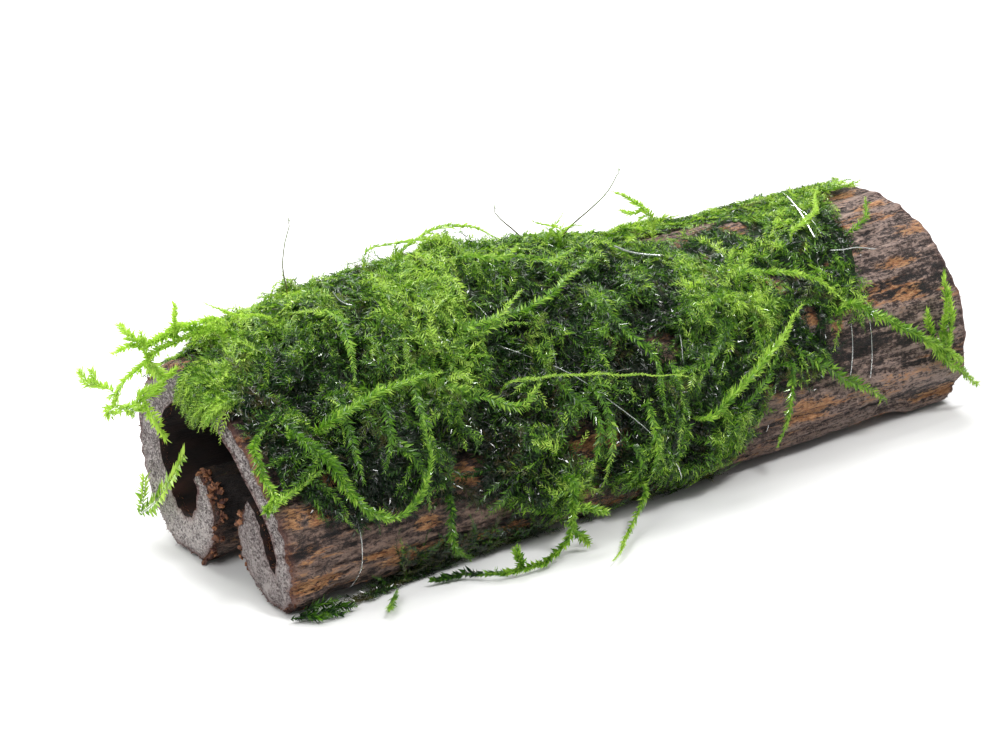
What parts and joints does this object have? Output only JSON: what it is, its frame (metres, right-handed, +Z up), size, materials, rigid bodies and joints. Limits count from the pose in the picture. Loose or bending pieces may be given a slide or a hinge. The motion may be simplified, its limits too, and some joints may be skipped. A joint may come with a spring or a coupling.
{
  "type": "aquarium moss on bark",
  "caption": "Curled bark tube with leafy aquarium moss tied over its top and front by clear line, loose shoots standing out of it; lies on a flat surface.",
  "frame": {"origin": "on the ground under the middle of the whole piece's box", "axes": "+X along the log from the near sawn end to the far one, +Z up, -Y towards the side the moss hangs down"},
  "size_m": [0.1622, 0.0624, 0.0532],
  "materials": {
    "bark": "rough fibrous bark, damp",
    "moss": "wet leafy tangle",
    "shoots": "leafy moss shoots, damp",
    "line": "clear nylon"
  },
  "bodies": {
    "root": {"bark_tube": "bark", "moss_mat": "moss", "shoot_front_loop": "shoots", "shoot_bright_cross": "shoots", "shoot_long_straight": "shoots", "shoot_near_loop": "shoots", "shoot_plume": "shoots", "shoot_far_runner": "shoots", "shoot_far_top": "shoots", "shoot_far_sprig": "shoots", "shoot_hanging_far": "shoots", "shoot_hanging_near": "shoots", "shoot_end_spray": "shoots", "shoot_end_ladder": "shoots", "shoot_end_top": "shoots", "shoot_stalk_tall": "shoots", "shoot_top_arc": "shoots", "shoot_stalk_fine": "shoots", "shoot_stalk_far": "shoots", "shoot_top_sprig": "shoots", "shoot_far_tip": "shoots", "shoot_ground_loop": "shoots", "shoot_ground_front": "shoots", "shoot_ground_tip": "shoots", "shoot_ground_near": "shoots", "tying_line": "line"}
  },
  "joints": []
}
